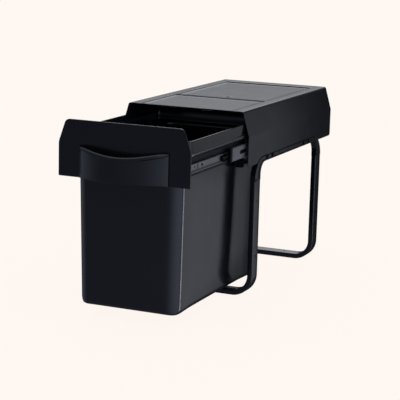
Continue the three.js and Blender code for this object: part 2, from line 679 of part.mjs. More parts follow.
// ---- assembly ----
add("cover_hood", coverHood(), blackPaint);
add("front_leg", leg(0), blackPaint);
add("rear_leg", leg(REAR_LEG_Y), blackPaint);
addPair("side_rail", sideRail(), blackPaint);
addPair("slide_bracket", slideBracket(), blackPaint);
addPair("guide_block", guideBlock(), blackPlastic);
RAIL_SCREWS_Y.forEach((y, i) => addPair("rail_screw_" + (i + 1), railScrew(y), screwSteel));
addPair("outer_slide", outerSlide(), greySteel);
addPair("middle_slide", middleSlide(), greySteel);
addPair("middle_stop", middleStop(), blackPlastic);
addPair("inner_slide", innerSlide(), greySteel);
addPair("outer_ball_cage", ballCage(OUTER_CAGE), ballSteel);
addPair("inner_ball_cage", ballCage(INNER_CAGE), ballSteel);
addPair("release_lever", releaseLever(), blackPlastic);
addPair("lever_pin", leverPin(), screwSteel);
addPair("carrier_rail", carrierRail(), blackPaint);
INNER_SCREWS_Y.forEach((y, i) => addPair("slide_screw_" + (i + 1), slideScrew(y), screwSteel));
add("carrier_front", carrierFront(), blackPaint);
add("carrier_back", carrierBack(), blackPaint);
add("front_plate", frontPlate(), blackPaint);
PLATE_SCREWS.forEach(([x, z], i) => add("plate_screw_" + (i + 1), plateScrew(x, z), screwSteel));
add("handle", handle(), handlePlastic);
HANDLE_SCREWS.forEach((x, i) => add("handle_screw_" + (i + 1), handleScrew(x), screwSteel));
add("bucket", bucket(), bucketPlastic);

export default bin;
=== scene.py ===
import math

import bmesh
import bpy
import numpy as np
from mathutils import Matrix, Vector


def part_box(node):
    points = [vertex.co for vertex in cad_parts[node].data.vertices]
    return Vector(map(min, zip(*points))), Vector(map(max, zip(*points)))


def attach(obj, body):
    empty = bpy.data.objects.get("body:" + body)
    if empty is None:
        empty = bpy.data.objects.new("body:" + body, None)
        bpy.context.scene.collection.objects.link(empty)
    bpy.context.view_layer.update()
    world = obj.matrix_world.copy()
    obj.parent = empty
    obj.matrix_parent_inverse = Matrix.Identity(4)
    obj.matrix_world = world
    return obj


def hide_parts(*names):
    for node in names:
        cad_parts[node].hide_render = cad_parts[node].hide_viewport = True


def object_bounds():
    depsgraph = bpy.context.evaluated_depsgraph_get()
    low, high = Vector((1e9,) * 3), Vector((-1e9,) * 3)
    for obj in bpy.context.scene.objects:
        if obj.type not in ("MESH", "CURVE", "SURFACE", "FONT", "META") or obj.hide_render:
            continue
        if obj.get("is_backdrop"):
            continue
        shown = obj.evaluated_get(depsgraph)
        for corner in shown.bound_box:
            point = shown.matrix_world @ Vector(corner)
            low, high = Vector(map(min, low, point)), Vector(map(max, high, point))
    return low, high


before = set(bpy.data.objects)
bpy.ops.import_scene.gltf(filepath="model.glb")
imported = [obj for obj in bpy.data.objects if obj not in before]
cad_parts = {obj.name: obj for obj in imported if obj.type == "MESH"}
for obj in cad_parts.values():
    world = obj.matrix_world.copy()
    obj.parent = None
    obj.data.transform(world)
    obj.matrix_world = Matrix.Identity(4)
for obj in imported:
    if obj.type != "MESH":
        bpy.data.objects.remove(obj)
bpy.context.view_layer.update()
hood_low, hood_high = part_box("cover_hood")
leg_low, leg_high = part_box("front_leg")
rear_low, rear_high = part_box("rear_leg")

# ---- camera ----
# A long lens at the front right of the bin, a little above it and turned very slightly about its own
# axis. Yaw, pitch and roll are in degrees; the place is in metres in the part's own frame.
CAMERA_YAW = math.radians(23.5455)
CAMERA_PITCH = math.radians(11.2705)
CAMERA_ROLL = math.radians(1.4976)
CAMERA_PLACE = (1.066804, -2.416723, 0.692826)
CAMERA_LENS = 131.503

level = np.array([math.cos(CAMERA_YAW), math.sin(CAMERA_YAW), 0.0])
ahead = np.array([-math.sin(CAMERA_YAW), math.cos(CAMERA_YAW), 0.0])
sight = ahead * math.cos(CAMERA_PITCH) - np.array([0.0, 0.0, math.sin(CAMERA_PITCH)])
upright = ahead * math.sin(CAMERA_PITCH) + np.array([0.0, 0.0, math.cos(CAMERA_PITCH)])
camera_right = level * math.cos(CAMERA_ROLL) + upright * math.sin(CAMERA_ROLL)
camera_up = upright * math.cos(CAMERA_ROLL) - level * math.sin(CAMERA_ROLL)
lens = bpy.data.cameras.new("camera")
lens.lens = CAMERA_LENS
lens.sensor_width = 36.0
lens.clip_end = 60.0
camera = bpy.data.objects.new("camera", lens)
bpy.context.collection.objects.link(camera)
placing = np.eye(4)
placing[:3, :4] = np.stack([camera_right, camera_up, -sight, np.array(CAMERA_PLACE)], axis=1)
camera.matrix_world = Matrix(placing.tolist())
bpy.context.scene.camera = camera

# ---- legs ----
# Two U-shaped loops of flat steel tube, bent at the floor and painted black. Each upright has two fixing
# holes for screws into the cabinet side, and the run on the floor has two more.
TUBE_CORNER = 0.0018
TUBE_WALL = 0.0013
TUBE_THICK = 0.0096
LEAST_CORNER = 0.0008
LEG_BEND = 0.034
HOLE_RADIUS = 0.0024
UPRIGHT_HOLES = (0.075, 0.177)
FLOOR_HOLES = (-0.062, 0.062)
BORE_ACROSS = 0.26
BORE_DOWN = 0.02
tube_wide = leg_high.y - leg_low.y


def rounded(corners, radii, steps=6):
    """Every corner of a closed outline becomes a curve: start (1-t)^2 + corner 2t(1-t) + end t^2 for t
    from 0 to 1, where start and end lie one radius back and one radius on along the outline's straight
    sides."""
    corners = np.asarray(corners, float)
    radii = np.broadcast_to(np.asarray(radii, float), len(corners))[:, None]
    back = np.roll(corners, 1, axis=0) - corners
    on = np.roll(corners, -1, axis=0) - corners
    start = corners + back / np.linalg.norm(back, axis=1, keepdims=True) * radii
    end = corners + on / np.linalg.norm(on, axis=1, keepdims=True) * radii
    t = np.linspace(0, 1, steps)[None, :, None]
    curve = start[:, None] * (1 - t) ** 2 + corners[:, None] * 2 * t * (1 - t) + end[:, None] * t**2
    return curve.reshape(-1, 2)


def skin(rings, loop=False):
    """A closed surface over an array of rings: ring i joins ring i + 1 by four-sided faces and every ring
    closes on itself. With loop the last ring joins the first; without it the first and last rings are
    filled flat."""
    count, around = rings.shape[:2]
    here = np.arange(count * around).reshape(count, around)
    if loop:
        here = np.concatenate([here, here[:1]])
    on = np.roll(here, -1, axis=1)
    faces = np.stack([here[:-1], on[:-1], on[1:], here[1:]], axis=-1).reshape(-1, 4).tolist()
    if not loop:
        faces += [here[0].tolist(), here[-1].tolist()]
    return rings.reshape(-1, 3), faces


def make(name, surface, crease=32):
    """A piece from points and faces: doubles merged, faces turned outwards, and shaded smooth except
    along edges that turn by more than the crease angle in degrees."""
    points, faces = surface
    mesh = bpy.data.meshes.new(name)
    mesh.from_pydata(points.tolist(), [], faces)
    form = bmesh.new()
    form.from_mesh(mesh)
    bmesh.ops.remove_doubles(form, verts=form.verts, dist=1e-6)
    bmesh.ops.recalc_face_normals(form, faces=form.faces)
    form.to_mesh(mesh)
    form.free()
    mesh.shade_smooth()
    mesh.set_sharp_from_angle(angle=math.radians(crease))
    piece = bpy.data.objects.new(name, mesh)
    bpy.context.collection.objects.link(piece)
    return piece


def joined(surfaces):
    """Several closed surfaces as one list of points and one list of faces."""
    starts = np.cumsum([0] + [len(points) for points, _ in surfaces])
    faces = [[i + start for i in face] for start, (_, some) in zip(starts, surfaces) for face in some]
    return np.concatenate([points for points, _ in surfaces]), faces


def pierced(piece, cutters, crease=32):
    """The piece with closed cutter surfaces, which don't touch each other, taken out of it."""
    tool = make("cutter", joined(cutters))
    cut = piece.modifiers.new("cut", "BOOLEAN")
    cut.object = tool
    cut.solver = "EXACT"
    graph = bpy.context.evaluated_depsgraph_get()
    mesh = bpy.data.meshes.new_from_object(piece.evaluated_get(graph))
    piece.modifiers.clear()
    piece.data = mesh
    mesh.set_sharp_from_angle(angle=math.radians(crease))
    bpy.data.objects.remove(tool)
    return piece


def bore(axis, radius, length, centre, sides=28):
    """A round cutter: a circle of the radius, carried the length along axis x, y or z and centred on a
    point."""
    angle = np.linspace(0, 2 * np.pi, sides, endpoint=False)
    circle = np.stack([np.zeros(sides), radius * np.cos(angle), radius * np.sin(angle)], axis=1)
    rings = np.stack([circle - [length / 2, 0, 0], circle + [length / 2, 0, 0]])
    return skin(np.roll(rings, "xyz".index(axis), axis=2) + np.asarray(centre))


def fit(piece, finish, body, slot, *nodes):
    """Gives a piece its finish and its body, and hides the CAD nodes that it stands for. The slot is not
    used.
    """
    piece.data.materials.clear()
    piece.data.materials.append(finish)
    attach(piece, body)
    if nodes:
        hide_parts(*nodes)


def coat(finish, node_names):
    """Gives CAD nodes that stay in view a finish in place of their plain one."""
    for name in node_names:
        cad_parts[name].data.materials.clear()
        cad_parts[name].data.materials.append(finish)


def surface_finish(name, dark, light, rough, grain, bump, metal=0.0, gloss=0.5, edge_wear_and_glint=None):
    """A finish on object coordinates: broad noise mixes two colours and moves the roughness between two
    values, fine noise of the grain size gives the bump, and where the surface turns inside half a
    millimetre, at its edges, the colour goes part of the way to an edge colour that stands for both
    rubbed paint and a painted highlight."""
    material = bpy.data.materials.new(name)
    material.use_nodes = True
    nodes, links = material.node_tree.nodes, material.node_tree.links
    shader = nodes["Principled BSDF"]
    shader.inputs["Metallic"].default_value = metal
    shader.inputs["Specular IOR Level"].default_value = gloss
    place = nodes.new("ShaderNodeTexCoord")
    clouds = nodes.new("ShaderNodeTexNoise")
    clouds.inputs["Scale"].default_value = 9.0
    clouds.inputs["Detail"].default_value = 5.0
    links.new(place.outputs["Object"], clouds.inputs["Vector"])
    tint = nodes.new("ShaderNodeValToRGB")
    tint.color_ramp.elements[0].position = 0.3
    tint.color_ramp.elements[0].color = (*dark, 1)
    tint.color_ramp.elements[1].position = 0.7
    tint.color_ramp.elements[1].color = (*light, 1)
    links.new(clouds.outputs["Fac"], tint.inputs["Fac"])
    colour = tint.outputs["Color"]
    if edge_wear_and_glint:
        soft = nodes.new("ShaderNodeBevel")
        soft.samples = 4
        soft.inputs["Radius"].default_value = 0.0005
        flat = nodes.new("ShaderNodeNewGeometry")
        turn = nodes.new("ShaderNodeVectorMath")
        turn.operation = "DOT_PRODUCT"
        links.new(soft.outputs["Normal"], turn.inputs[0])
        links.new(flat.outputs["Normal"], turn.inputs[1])
        edge = nodes.new("ShaderNodeMapRange")
        edge.inputs["From Min"].default_value = 0.985
        edge.inputs["From Max"].default_value = 0.8
        edge.inputs["To Max"].default_value = 0.7
        links.new(turn.outputs["Value"], edge.inputs["Value"])
        lit_worn_edge = nodes.new("ShaderNodeMix")
        lit_worn_edge.data_type = "RGBA"
        lit_worn_edge.inputs[7].default_value = (*edge_wear_and_glint, 1)
        links.new(edge.outputs["Result"], lit_worn_edge.inputs[0])
        links.new(colour, lit_worn_edge.inputs[6])
        colour = lit_worn_edge.outputs[2]
    links.new(colour, shader.inputs["Base Color"])
    patches = nodes.new("ShaderNodeTexNoise")
    patches.inputs["Scale"].default_value = 26.0
    patches.inputs["Detail"].default_value = 6.0
    links.new(place.outputs["Object"], patches.inputs["Vector"])
    sheen = nodes.new("ShaderNodeMapRange")
    sheen.inputs["From Min"].default_value = 0.35
    sheen.inputs["From Max"].default_value = 0.65
    sheen.inputs["To Min"].default_value = rough[0]
    sheen.inputs["To Max"].default_value = rough[1]
    links.new(patches.outputs["Fac"], sheen.inputs["Value"])
    links.new(sheen.outputs["Result"], shader.inputs["Roughness"])
    peel = nodes.new("ShaderNodeTexNoise")
    peel.inputs["Scale"].default_value = 1 / grain
    peel.inputs["Detail"].default_value = 3.0
    links.new(place.outputs["Object"], peel.inputs["Vector"])
    relief = nodes.new("ShaderNodeBump")
    relief.inputs["Strength"].default_value = 0.5
    relief.inputs["Distance"].default_value = bump
    links.new(peel.outputs["Fac"], relief.inputs["Height"])
    links.new(relief.outputs["Normal"], shader.inputs["Normal"])
    return material


black_paint = surface_finish(
    "black_powder_paint",
    dark=(0.0045, 0.005, 0.0066),
    light=(0.0065, 0.0074, 0.0094),
    rough=(0.19, 0.23),
    grain=0.0016,
    bump=0.000006,
    gloss=0.47,
    # The pale edge colour is partly rubbed paint and partly a painted highlight along the edges.
    edge_wear_and_glint=(0.03, 0.032, 0.038),
)


def tube_ring(inset):
    """The flat tube's outline in x and y: a rectangle with its corners rounded, drawn in by inset."""
    half, wide = TUBE_THICK / 2 - inset, tube_wide / 2 - inset
    corner = max(TUBE_CORNER - inset, LEAST_CORNER)
    return rounded([(half, wide), (-half, wide), (-half, -wide), (half, -wide)], corner)


def leg_loop(centre_y, inset):
    """The tube's outline carried down one upright, round a quarter circle, over the floor and up the
    other side: at angle a of the bend the centre line is at (cos a, -sin a) times the bend radius from
    the bend's centre, and the outline's own x turns to (cos a, -sin a)."""
    reach = leg_high.x - TUBE_THICK / 2
    turn = np.linspace(0, np.pi / 2, 21)
    bend_x = reach - LEG_BEND + LEG_BEND * np.cos(turn)
    bend_z = leg_low.z + TUBE_THICK / 2 + LEG_BEND * (1 - np.sin(turn))
    half_x = np.concatenate([[reach], bend_x])
    half_z = np.concatenate([[leg_high.z], bend_z])
    half_turn = np.concatenate([[0.0], turn])
    line_x = np.concatenate([half_x, -half_x[::-1]])
    line_z = np.concatenate([half_z, half_z[::-1]])
    turns = np.concatenate([half_turn, np.pi - half_turn[::-1]])
    ring = tube_ring(inset)
    x = line_x[:, None] + ring[None, :, 0] * np.cos(turns)[:, None]
    y = np.broadcast_to(centre_y + ring[None, :, 1], x.shape)
    z = line_z[:, None] - ring[None, :, 0] * np.sin(turns)[:, None]
    return np.stack([x, y, z], axis=-1)


for leg_name, low, high in (("front_leg", leg_low, leg_high), ("rear_leg", rear_low, rear_high)):
    middle_y = (low.y + high.y) / 2
    outside, inside = leg_loop(middle_y, 0), leg_loop(middle_y, TUBE_WALL)
    holes = [bore("x", HOLE_RADIUS, BORE_ACROSS, (0, middle_y, z)) for z in UPRIGHT_HOLES]
    holes += [bore("z", HOLE_RADIUS, BORE_DOWN, (x, middle_y, TUBE_THICK / 2)) for x in FLOOR_HOLES]
    leg_tube = make(leg_name + "_tube", skin(np.concatenate([outside, inside[::-1]]), loop=True))
    fit(pierced(leg_tube, holes), black_paint, "frame", "black_paint", leg_name)

# ---- side rails ----
# One painted steel rail each side joins the tops of the two legs under the hood. It ends in a broad
# curved shoulder over each leg, has a large fillet in each inner corner, and is drilled for screws and a
# jig.
RAIL_FOOT = 0.215
RAIL_SHOULDER = 0.044
RAIL_FILLET = 0.022
RAIL_RUN_LOW = 0.246
RAIL_EDGE = 0.0022
SCREW_LINE_Z = 0.251
JIG_HOLES_Y = (0.0016, 0.111)
JIG_HOLE_RADIUS = 0.0021
JIG_LINE_Z = SCREW_LINE_Z + 0.001
SEAT_GAP = 0.0004
SEAT_LONG = 0.0038
SHEET_BORE = 0.006
rail_low, rail_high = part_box("right_side_rail")


def arc(centre, radii, start, end, steps=14):
    """Points of an ellipse's arc: centre + (radii[0] cos a, radii[1] sin a) with a in degrees from start
    to end."""
    a = np.radians(np.linspace(start, end, steps))
    return np.stack([centre[0] + radii[0] * np.cos(a), centre[1] + radii[1] * np.sin(a)], axis=1)


def shoulder_height(y):
    """Top of the rail at y: an ellipse's quarter over each leg and the level run between them."""
    from_end = np.minimum(y - rail_low.y, rail_high.y - y)
    along = np.clip(1 - from_end / RAIL_SHOULDER, 0, 1)
    return RAIL_FOOT + (rail_high.z - RAIL_FOOT) * np.sqrt(1 - along**2)


def drawn_in(outline, inset):
    """A closed outline moved inwards: each point goes along the mean of its two sides' normals."""
    on = np.roll(outline, -1, axis=0) - outline
    back = outline - np.roll(outline, 1, axis=0)
    on = on / np.maximum(np.linalg.norm(on, axis=1, keepdims=True), 1e-9)
    back = back / np.maximum(np.linalg.norm(back, axis=1, keepdims=True), 1e-9)
    mean = on + back
    mean = mean / np.maximum(np.linalg.norm(mean, axis=1, keepdims=True), 1e-9)
    x, z = outline[:, 0], outline[:, 1]
    turn = np.sign(np.sum(x * np.roll(z, -1) - np.roll(x, -1) * z))
    share = np.clip(np.sum(mean * on, axis=1, keepdims=True), 0.6, 1)
    return outline + turn * inset * np.stack([-mean[:, 1], mean[:, 0]], axis=1) / share


def carried(outline, axis, low, high, edge=0.0, steps=5):
    """A closed outline carried from low to high along axis x, y or z. Within one edge radius of either
    end it is drawn in by edge (1 - cos a) at the depth edge (1 - sin a), a quarter circle, and the ends
    are closed flat. The outline is in y and z for x, in x and z for y, and in x and y for z."""
    a = np.linspace(np.pi / 2, 0, steps) if edge else np.zeros(1)
    inset = np.concatenate([edge * np.sin(a), edge * np.sin(a[::-1])])
    depth = np.concatenate([low + edge * (1 - np.cos(a)), high - edge * (1 - np.cos(a[::-1]))])
    rings = []
    for draw, level_at in zip(inset, depth):
        flat = drawn_in(outline, draw) if draw else outline
        rings.append(np.insert(flat, "xyz".index(axis), level_at, axis=1))
    return skin(np.stack(rings))


def rail_outline():
    """The rail in y and z: shoulder, run, shoulder, then back under the run between the two fillets."""
    front_in, back_in = leg_high.y, rear_low.y
    under = RAIL_RUN_LOW - RAIL_FILLET
    tall = rail_high.z - RAIL_FOOT
    return np.concatenate([
        arc((rail_low.y + RAIL_SHOULDER, RAIL_FOOT), (RAIL_SHOULDER, tall), 180, 90),
        arc((rail_high.y - RAIL_SHOULDER, RAIL_FOOT), (RAIL_SHOULDER, tall), 90, 0),
        [(back_in, RAIL_FOOT)],
        arc((back_in - RAIL_FILLET, under), (RAIL_FILLET, RAIL_FILLET), 0, 90),
        arc((front_in + RAIL_FILLET, under), (RAIL_FILLET, RAIL_FILLET), 90, 180),
        [(front_in, RAIL_FOOT)],
    ])


rail_screws = [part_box(f"right_rail_screw_{i}") for i in (1, 2, 3, 4)]
for side, sign in (("right", 1), ("left", -1)):
    low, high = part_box(side + "_side_rail")
    outer_face = sign * rail_high.x
    rail = make(side + "_rail_bar", carried(rail_outline(), "x", low.x, high.x, RAIL_EDGE), crease=50)
    cutters = []
    for screw_low, screw_high in rail_screws:
        screw_y = (screw_low.y + screw_high.y) / 2
        seat = (screw_high.y - screw_low.y) / 2 + SEAT_GAP
        cutters.append(bore("x", seat, SEAT_LONG, (outer_face, screw_y, SCREW_LINE_Z)))
    cutters += [bore("x", JIG_HOLE_RADIUS, SHEET_BORE, (outer_face, y, JIG_LINE_Z)) for y in JIG_HOLES_Y]
    fit(pierced(rail, cutters, 50), black_paint, "frame", "black_paint", side + "_side_rail")

# ---- slide brackets ----
# A long sheet angle behind each side of the hood carries the slide and is screwed to the side rail. Only
# its lower lip can be seen, from below, so the plain folded shape is enough.
coat(black_paint, ["left_slide_bracket", "right_slide_bracket"])

# ---- cover hood ----
# A painted steel sheet folded over the bin: upright skirts, leaning shoulders, a closed back and a flat
# top with two sunk panels and a small dimple between them. Each skirt is cut away round the side rail.
SHEET = 0.0012
FOLD_Z = 0.300
FOLD_RADIUS = 0.005
TOP_HALF = 0.1123
HEM_CORNER = 0.005
RAIL_CLEAR = 0.0005
PANEL_HALF = 0.093
PANEL_ROWS_Y = ((-0.040, 0.1135), (0.1185, 0.366))
PANEL_SLOPE = 0.0022
PANEL_SIDE_SLOPE = 0.0035
PANEL_DEPTH = 0.0017
DIMPLE = (0.004, 0.146)
DIMPLE_RADIUS = 0.0045
DIMPLE_DEPTH = 0.0022
DIMPLE_REACH = 0.006
HOOD_MIDDLE = (0, 0.17, 0.25)


def eased(value):
    """A step from 0 to 1 with level ends: 3v^2 - 2v^3 for v held between 0 and 1."""
    value = np.clip(value, 0, 1)
    return value * value * (3 - 2 * value)


def hem_height(y):
    """Lower edge of the skirt: level, rounded off at both ends, and raised over the side rail."""
    end = np.minimum(y - hood_low.y, hood_high.y - y)
    short = np.clip(HEM_CORNER - end, 0, HEM_CORNER)
    hem = hood_low.z + HEM_CORNER - np.sqrt(HEM_CORNER**2 - short**2)
    over = (y > rail_low.y - RAIL_CLEAR) & (y < rail_high.y + RAIL_CLEAR)
    held = np.clip(y, rail_low.y, rail_high.y)
    return np.where(over, np.maximum(hem, shoulder_height(held) + RAIL_CLEAR), hem)


def sunk(x, y):
    """Depth of the top below its flat: two panels with eased edges, and a round dimple that
    falls off as the exponential of its radius to the fourth power."""
    depth = np.zeros(np.broadcast(x, y).shape)
    for front, back in PANEL_ROWS_Y:
        across = eased((PANEL_HALF - np.abs(x)) / PANEL_SIDE_SLOPE)
        depth = depth + PANEL_DEPTH * across * eased(np.minimum(y - front, back - y) / PANEL_SLOPE)
    away = np.hypot(x - DIMPLE[0], y - DIMPLE[1]) / DIMPLE_RADIUS
    return depth + DIMPLE_DEPTH * np.exp(-(away**4))


def hood_ring(y, inset):
    """The hood's outline in x and z at each y, from the right hem over the top to the left hem: skirt,
    fold curve, leaning shoulder, bend curve and top, all drawn in by inset."""
    half, top, lean = hood_high.x - inset, hood_high.z - inset, TOP_HALF - inset * 0.75
    fold = np.array([half, FOLD_Z - inset * 0.14])
    crown = np.array([lean, top])
    slope = (crown - fold) / np.linalg.norm(crown - fold)
    radius = FOLD_RADIUS - inset
    t = np.linspace(0, 1, 9)[:, None]
    below, above = fold - [0, radius * 0.14], fold + slope * radius * 0.14
    fold_curve = below * (1 - t) ** 2 + fold * 2 * t * (1 - t) + above * t**2
    before, after = crown - slope * radius * 0.75, crown - [radius * 0.75, 0]
    bend_curve = before * (1 - t) ** 2 + crown * 2 * t * (1 - t) + after * t**2
    shoulder = above + (before - above) * np.linspace(0, 1, 8)[1:-1, None]
    across = np.concatenate([
        np.linspace(after[0], PANEL_HALF + 0.001, 4)[1:],
        PANEL_HALF - PANEL_SIDE_SLOPE * np.linspace(0, 1, 6),
        np.linspace(PANEL_HALF - PANEL_SIDE_SLOPE, DIMPLE[0] + 0.007, 12)[1:],
        DIMPLE[0] + np.linspace(DIMPLE_REACH, -DIMPLE_REACH, 17),
        np.linspace(DIMPLE[0] - 0.007, PANEL_SIDE_SLOPE - PANEL_HALF, 12)[:-1],
        -PANEL_HALF + PANEL_SIDE_SLOPE * np.linspace(1, 0, 6),
        -np.linspace(after[0], PANEL_HALF + 0.001, 4)[:0:-1],
    ])
    side = np.concatenate([fold_curve, shoulder, bend_curve])
    share = np.linspace(0, 1, 7)[:-1]
    rise = hem_height(y)[:, None] + (below[1] - hem_height(y)[:, None]) * share
    skirt = np.stack([np.full(rise.shape, half), rise], axis=-1)
    fixed = np.broadcast_to(side, (len(y), *side.shape))
    top_x = np.broadcast_to(across, (len(y), len(across)))
    level_top = np.stack([top_x, top - sunk(across, y[:, None])], axis=-1)
    mirror = np.array([-1.0, 1.0])
    far_side = np.concatenate([fixed[:, ::-1], skirt[:, ::-1]], axis=1) * mirror
    return np.concatenate([skirt, fixed, level_top, far_side], axis=1)


def hood_sheet():
    """The hood as one closed sheet: at each y its outer outline and its inner one, back to front, make
    one ring."""
    hem = HEM_CORNER * np.linspace(0, 1, 6) ** 2
    stations = [np.linspace(hood_low.y, hood_high.y, 40), hood_low.y + hem, hood_high.y - hem]
    for end, way in ((rail_low.y, 1), (rail_high.y, -1)):
        stations.append(end + way * RAIL_SHOULDER * np.linspace(0, 1, 26))
    for front, back in PANEL_ROWS_Y:
        stations += [front + PANEL_SLOPE * np.linspace(0, 1, 5), back - PANEL_SLOPE * np.linspace(0, 1, 5)]
    stations.append(DIMPLE[1] + np.linspace(-DIMPLE_REACH, DIMPLE_REACH, 17))
    y = np.unique(np.round(np.concatenate(stations), 5))
    ring = np.concatenate([hood_ring(y, 0), hood_ring(y, SHEET)[:, ::-1]], axis=1)
    return skin(np.insert(ring, 1, y[:, None], axis=2))


def back_wall():
    """The wall across the hood's back: the outline at the rear, carried one sheet's thickness along y."""
    ring = hood_ring(np.array([hood_high.y]), SHEET)[0]
    return carried(ring, "y", hood_high.y - SHEET, hood_high.y)


def dulled_inside(name, finish, middle):
    """A copy of a finish that is fully matt wherever the surface faces the middle point."""
    material = finish.copy()
    material.name = name
    nodes, links = material.node_tree.nodes, material.node_tree.links
    place = nodes.new("ShaderNodeTexCoord")
    outward = nodes.new("ShaderNodeVectorMath")
    outward.operation = "SUBTRACT"
    outward.inputs[1].default_value = middle
    links.new(place.outputs["Object"], outward.inputs[0])
    facing = nodes.new("ShaderNodeVectorMath")
    facing.operation = "DOT_PRODUCT"
    links.new(outward.outputs["Vector"], facing.inputs[0])
    links.new(place.outputs["Normal"], facing.inputs[1])
    inside = nodes.new("ShaderNodeMapRange")
    inside.inputs["From Max"].default_value = 0.001
    inside.inputs["To Min"].default_value = 1.0
    inside.inputs["To Max"].default_value = 0.0
    links.new(facing.outputs["Value"], inside.inputs["Value"])
    roughness = nodes["Principled BSDF"].inputs["Roughness"]
    matt = nodes.new("ShaderNodeMath")
    matt.operation = "MAXIMUM"
    links.new(roughness.links[0].from_socket, matt.inputs[0])
    links.new(inside.outputs["Result"], matt.inputs[1])
    links.new(matt.outputs["Value"], roughness)
    return material


hood_paint = dulled_inside("black_hood_paint", black_paint, HOOD_MIDDLE)
hood = make("hood_sheet", joined([hood_sheet(), back_wall()]), crease=40)
fit(hood, hood_paint, "frame", "black_paint", "cover_hood")

# ---- guide blocks ----
# A small black moulded block under each slide at the mouth of the hood keeps the drawer from sagging. Its
# runner slot faces back and is left out: the block is drawn as a plain rounded box.
black_plastic = surface_finish(
    "black_moulded_plastic",
    dark=(0.006, 0.006, 0.0065),
    light=(0.009, 0.009, 0.010),
    rough=(0.42, 0.52),
    grain=0.0009,
    bump=0.00002,
    gloss=0.10,
)
BLOCK_EDGE = 0.0009
BLOCK_CORNER = 0.0018
for side in ("right", "left"):
    low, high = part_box(side + "_guide_block")
    outline = rounded([(low.x, low.z), (high.x, low.z), (high.x, high.z), (low.x, high.z)], BLOCK_CORNER)
    block = make(side + "_guide_slipper", carried(outline, "y", low.y, high.y, BLOCK_EDGE), crease=50)
    fit(block, black_plastic, "frame", "black_plastic", side + "_guide_block")

# ---- rail screws ----
# Pan-head screws with a cross recess, zinc-plated and blackened, sunk flush in the rail; four on each
# side.
CROSS_ARM = 0.0006
CROSS_DEPTH = 0.0009
CROSS_SPAN = 0.56
HEAD_DOME = 0.0005
HEAD_THICK = 0.0016
SHANK_LONG = 0.006
SHANK_SHARE = 0.55
screw_steel = surface_finish(
    "blackened_screw_steel",
    dark=(0.022, 0.023, 0.025),
    light=(0.04, 0.041, 0.044),
    rough=(0.3, 0.4),
    grain=0.0004,
    bump=0.00001,
    metal=0.8,
)


def screw_head(face_x, sign, centre_y, centre_z, radius, thick):
    """A head on a short shank: at radius r and angle a the dome stands HEAD_DOME (1 - (r/R)^2) up, less a
    cross whose arms are where the smaller of |r cos a| and |r sin a| is under the arm's half-width."""
    r = radius * np.array([0.02, 0.12, 0.2, 0.3, 0.42, 0.5, 0.56, 0.7, 0.88, 1.0])[:, None]
    a = np.linspace(0, 2 * np.pi, 48, endpoint=False)[None, :]
    near = np.minimum(np.abs(r * np.cos(a)), np.abs(r * np.sin(a)))
    cross = eased((CROSS_ARM - near) / 0.00025) * eased((radius * CROSS_SPAN - r) / 0.0003)
    dome = HEAD_DOME * (1 - (r / radius) ** 2) - CROSS_DEPTH * cross - HEAD_DOME
    under = np.array([-0.0004, -thick, -thick, -thick - SHANK_LONG])[:, None] + 0 * a
    under_r = radius * np.array([1, 0.96, SHANK_SHARE, SHANK_SHARE])[:, None] + 0 * a
    depth = np.concatenate([dome, under])
    reach = np.concatenate([r + 0 * a, under_r])
    turn = np.broadcast_to(a, reach.shape)
    y = centre_y + reach * np.cos(turn)
    z = centre_z + reach * np.sin(turn)
    return skin(np.stack([face_x + sign * depth, y, z], axis=-1))


for side, sign in (("right", 1), ("left", -1)):
    for i in (1, 2, 3, 4):
        low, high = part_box(f"{side}_rail_screw_{i}")
        face = high.x if sign > 0 else low.x
        middle = ((low.y + high.y) / 2, (low.z + high.z) / 2)
        head = screw_head(face, sign, *middle, (high.y - low.y) / 2, HEAD_THICK)
        screw = make(f"{side}_rail_pan_screw_{i}", head, crease=40)
        fit(screw, screw_steel, "frame", "screw_steel", f"{side}_rail_screw_{i}")

# ---- slides ----
# Three-member ball slides of rolled, zinc-plated steel strip, a millimetre thick: the outer member is
# fixed to the bracket, the middle one runs between two rows of balls, and the inner one carries the
# drawer.
slide_steel = surface_finish(
    "rolled_slide_steel",
    dark=(0.24, 0.24, 0.24),
    light=(0.33, 0.33, 0.328),
    rough=(0.3, 0.42),
    grain=0.0011,
    bump=0.00002,
    metal=0.85,
    edge_wear_and_glint=(0.42, 0.42, 0.43),
)
ball_steel = surface_finish(
    "bright_ball_steel",
    dark=(0.30, 0.30, 0.31),
    light=(0.36, 0.36, 0.37),
    rough=(0.16, 0.24),
    grain=0.0008,
    bump=0.00001,
    metal=1.0,
)


def painted_shade_band(name, finish, y_from, y_to, fade):
    """A copy of a finish with painted shade: its colour is darkened between two values of y, with soft ends.
    """
    material = finish.copy()
    material.name = name
    nodes, links = material.node_tree.nodes, material.node_tree.links
    shader = nodes["Principled BSDF"]
    place = nodes.new("ShaderNodeTexCoord")
    parts = nodes.new("ShaderNodeSeparateXYZ")
    links.new(place.outputs["Object"], parts.inputs["Vector"])
    offset = nodes.new("ShaderNodeMath")
    offset.operation = "SUBTRACT"
    offset.inputs[1].default_value = (y_from + y_to) / 2
    links.new(parts.outputs["Y"], offset.inputs[0])
    away = nodes.new("ShaderNodeMath")
    away.operation = "ABSOLUTE"
    links.new(offset.outputs["Value"], away.inputs[0])
    half = (y_to - y_from) / 2
    unshaded = nodes.new("ShaderNodeMapRange")
    unshaded.inputs["From Min"].default_value = half - fade
    unshaded.inputs["From Max"].default_value = half
    unshaded.inputs["To Min"].default_value = 0.03
    links.new(away.outputs["Value"], unshaded.inputs["Value"])
    shade = nodes.new("ShaderNodeVectorMath")
    shade.operation = "SCALE"
    links.new(shader.inputs["Base Color"].links[0].from_socket, shade.inputs[0])
    links.new(unshaded.outputs["Result"], shade.inputs["Scale"])
    links.new(shade.outputs["Vector"], shader.inputs["Base Color"])
    return material


